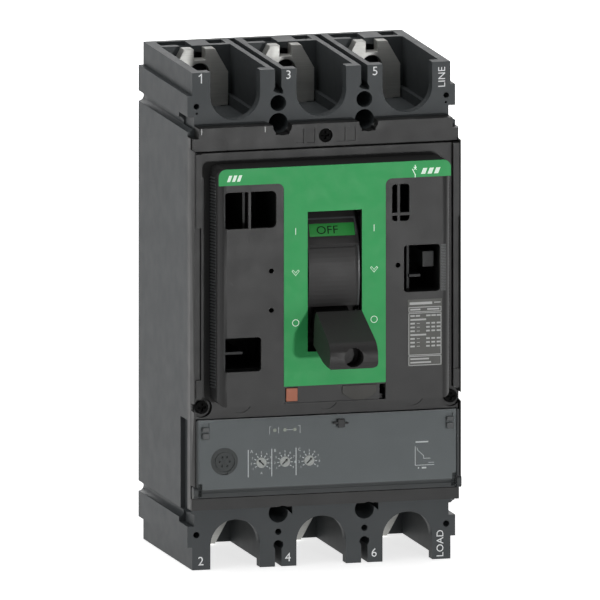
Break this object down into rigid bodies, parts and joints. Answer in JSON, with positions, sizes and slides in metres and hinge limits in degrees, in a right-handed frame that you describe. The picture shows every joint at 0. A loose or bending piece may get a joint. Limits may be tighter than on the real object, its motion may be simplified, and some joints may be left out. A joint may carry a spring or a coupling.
{
  "type": "molded case circuit breaker",
  "caption": "Molded case circuit breaker with a toggle handle, terminal compartments at both ends, an accessory cover and an electronic trip unit behind a clear cover.",
  "frame": {"origin": "centre of the four panel screws in the back mounting face", "axes": "+X to the right seen from the front, +Y into the mounting panel, +Z towards the line terminals; the front faces -Y"},
  "size_m": [0.14, 0.1596, 0.255],
  "materials": {
    "base_plastic": "fine moulded grain",
    "cover_plastic": "fine moulded grain",
    "toggle_plastic": "smooth moulded",
    "trip_plastic": "fine moulded grain",
    "trip_face_print": "printed foil",
    "green_print": "printed label",
    "dark_green_print": "printed label",
    "grey_print": "printed label",
    "tab_plastic": "moulded",
    "tray_plastic": "moulded",
    "clear_plastic": "clear polycarbonate",
    "button_plastic": "smooth",
    "dial_plastic": "smooth",
    "socket_plastic": "moulded",
    "lamp_plastic": "clear diffusing",
    "cassette_plastic": "glass filled polyester",
    "rotor_plastic": "moulded",
    "core_steel": "lacquered laminations",
    "board_laminate": "glass epoxy",
    "coil_brown": "enamelled winding",
    "screw_black": "black finish",
    "terminal_tin": "tin plated copper",
    "contact_silver": "silver alloy",
    "arm_copper": "copper",
    "mechanism_steel": "zinc plated steel",
    "spring_steel": "spring wire"
  },
  "bodies": {
    "case": {"base_case": "base_plastic", "mid_cover": "cover_plastic", "accessory_cover": "cover_plastic", "face_label": "green_print", "accessory_tray_left": "tray_plastic", "accessory_tray_right": "tray_plastic", "rating_label": "grey_print", "rating_tab": "tab_plastic", "mid_cover_screws": "screw_black", "accessory_cover_screws": "screw_black", "trip_unit_housing": "trip_plastic", "trip_unit_face": "trip_face_print", "trip_unit_board": "board_laminate", "status_lamps": "lamp_plastic", "test_socket": "socket_plastic", "trip_solenoid": "coil_brown", "current_transformer_1": "core_steel", "current_transformer_2": "core_steel", "current_transformer_3": "core_steel", "line_terminal_1": "terminal_tin", "line_terminal_3": "terminal_tin", "line_terminal_5": "terminal_tin", "load_terminal_2": "terminal_tin", "load_terminal_4": "terminal_tin", "load_terminal_6": "terminal_tin", "fixed_contacts": "contact_silver", "pole_cassette_1": "cassette_plastic", "pole_cassette_2": "cassette_plastic", "pole_cassette_3": "cassette_plastic", "arc_chutes_1": "mechanism_steel", "arc_chutes_2": "mechanism_steel", "arc_chutes_3": "mechanism_steel", "mechanism_frame": "mechanism_steel", "cradle": "mechanism_steel", "cradle_pin": "mechanism_steel"},
    "toggle": {"toggle_handle": "toggle_plastic", "toggle_shield": "toggle_plastic", "position_labels": "dark_green_print", "handle_yoke": "mechanism_steel", "operating_springs": "spring_steel"},
    "contact_shaft": {"rotor_1": "rotor_plastic", "rotor_2": "rotor_plastic", "rotor_3": "rotor_plastic", "moving_contact_1": "arm_copper", "moving_contact_2": "arm_copper", "moving_contact_3": "arm_copper", "shaft_rods": "mechanism_steel"},
    "upper_link": {"upper_links": "mechanism_steel", "knee_pin": "mechanism_steel"},
    "lower_link": {"lower_links": "mechanism_steel"},
    "trip_button": {"trip_button": "button_plastic"},
    "trip_bar": {"trip_bar": "rotor_plastic"},
    "solenoid_plunger": {"solenoid_plunger": "mechanism_steel"},
    "trip_cover": {"trip_unit_cover": "clear_plastic"},
    "dial_1": {"setting_dial_1": "dial_plastic"},
    "dial_2": {"setting_dial_2": "dial_plastic"},
    "dial_3": {"setting_dial_3": "dial_plastic"}
  },
  "joints": [
    {"name": "toggle_turn", "type": "hinge", "parent": "case", "child": "toggle", "pos_m": [0, -0.062, 0.025], "axis": [-1, 0, 0], "range_deg": [0, 41], "deforming": ["operating_springs"]},
    {"name": "contact_shaft_turn", "type": "hinge", "parent": "case", "child": "contact_shaft", "pos_m": [0, -0.0305, 0.012], "axis": [1, 0, 0], "range_deg": [0, 45]},
    {"name": "upper_link_turn", "type": "hinge", "parent": "case", "child": "upper_link", "pos_m": [0, -0.084, 0.062], "axis": [1, 0, 0], "range_deg": [0, 14]},
    {"name": "lower_link_turn", "type": "hinge", "parent": "contact_shaft", "child": "lower_link", "pos_m": [0, -0.03959, 0.01725], "axis": [-1, 0, 0], "range_deg": [0, 63]},
    {"name": "trip_button_push", "type": "slide", "parent": "case", "child": "trip_button", "axis": [0, 1, 0], "range_m": [0, 0.0015], "stiffness_N_per_m": 300, "springref_m": -0.001},
    {"name": "trip_bar_turn", "type": "hinge", "parent": "case", "child": "trip_bar", "pos_m": [0, -0.084, -0.038], "axis": [-1, 0, 0], "range_deg": [0, 13]},
    {"name": "solenoid_push", "type": "slide", "parent": "case", "child": "solenoid_plunger", "axis": [0, -1, 0], "range_m": [0, 0.0018], "stiffness_N_per_m": 300, "springref_m": -0.001},
    {"name": "trip_cover_hinge", "type": "hinge", "parent": "case", "child": "trip_cover", "pos_m": [0, -0.1061, -0.0862], "axis": [1, 0, 0], "range_deg": [0, 100]},
    {"name": "dial_1_turn", "type": "hinge", "parent": "case", "child": "dial_1", "pos_m": [-0.0344, -0.107, -0.0718], "axis": [0, -1, 0], "range_deg": [-120, 120]},
    {"name": "dial_2_turn", "type": "hinge", "parent": "case", "child": "dial_2", "pos_m": [-0.0221, -0.107, -0.0718], "axis": [0, -1, 0], "range_deg": [-120, 120]},
    {"name": "dial_3_turn", "type": "hinge", "parent": "case", "child": "dial_3", "pos_m": [-0.0094, -0.107, -0.0718], "axis": [0, -1, 0], "range_deg": [-120, 120]}
  ],
  "couplings": [
    {"joint": "contact_shaft_turn", "follows": "toggle_turn", "ratio": 1.0976},
    {"joint": "upper_link_turn", "follows": "toggle_turn", "ratio": 0.33666},
    {"joint": "lower_link_turn", "follows": "toggle_turn", "ratio": 1.5354},
    {"joint": "trip_bar_turn", "follows": "trip_button_push", "rad_per_m": 150}
  ]
}
